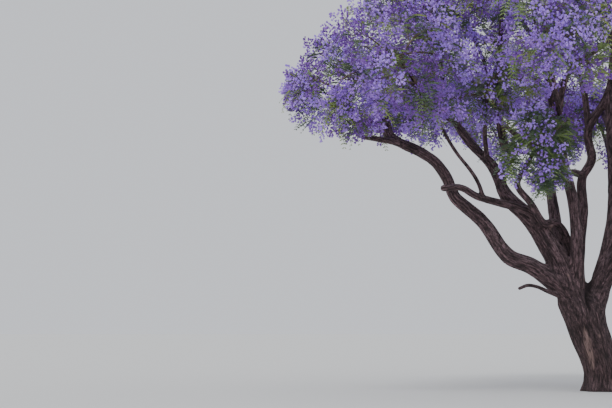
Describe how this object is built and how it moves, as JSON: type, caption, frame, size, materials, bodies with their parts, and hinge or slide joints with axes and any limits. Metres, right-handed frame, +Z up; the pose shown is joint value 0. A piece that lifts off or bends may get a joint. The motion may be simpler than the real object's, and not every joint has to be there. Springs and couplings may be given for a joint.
{
  "type": "jacaranda tree",
  "caption": "Mature jacaranda tree in full violet bloom: low-forked leaning trunk, long arching boughs and a wide open domed crown, rooted at a flat cut.",
  "frame": {"origin": "middle of the flat cut under the trunk, at ground level", "axes": "+Z up the tree, -X towards the side whose long boughs reach over the road, -Y towards the tree's front"},
  "size_m": [13.6211, 13.5098, 12.1027],
  "materials": {
    "bark": "rough furrowed bark, dark grey-brown",
    "foliage": "matt violet blossom with green leaf sprays"
  },
  "bodies": {
    "root": {"crest_mass": "foliage", "crest_riser": "bark", "crossing_bough": "bark", "dark_upright": "bark", "far_rear_bough": "bark", "front_prong": "bark", "front_right_bough": "bark", "front_right_riser": "bark", "front_riser": "bark", "front_upright": "bark", "hanging_mass": "foliage", "hooked_bough": "bark", "inner_left_branch": "bark", "inner_left_mass": "foliage", "inner_rear_branch": "bark", "inner_rear_mass": "foliage", "inner_right_branch": "bark", "inner_right_mass": "foliage", "left_leader": "bark", "left_rear_bough": "bark", "low_branch": "bark", "middle_mass_1": "foliage", "middle_mass_2": "foliage", "middle_mass_3": "foliage", "middle_mass_4": "foliage", "middle_mass_5": "foliage", "middle_mass_6": "foliage", "middle_mass_7": "foliage", "rear_bough": "bark", "rear_left_riser": "bark", "rear_right_bough": "bark", "rear_right_riser": "bark", "rear_riser": "bark", "rear_top_riser": "bark", "right_leader": "bark", "road_bough": "bark", "road_prong": "bark", "road_shoot": "bark", "road_tip_mass": "foliage", "skirt_mass_1": "foliage", "skirt_mass_10": "foliage", "skirt_mass_2": "foliage", "skirt_mass_3": "foliage", "skirt_mass_4": "foliage", "skirt_mass_5": "foliage", "skirt_mass_6": "foliage", "skirt_mass_7": "foliage", "skirt_mass_8": "foliage", "skirt_mass_9": "foliage", "top_mass_1": "foliage", "top_mass_2": "foliage", "top_mass_3": "foliage", "top_mass_4": "foliage", "trunk": "bark", "upright_shoot": "bark", "verge_bough": "bark", "verge_front_bough": "bark"}
  },
  "joints": []
}
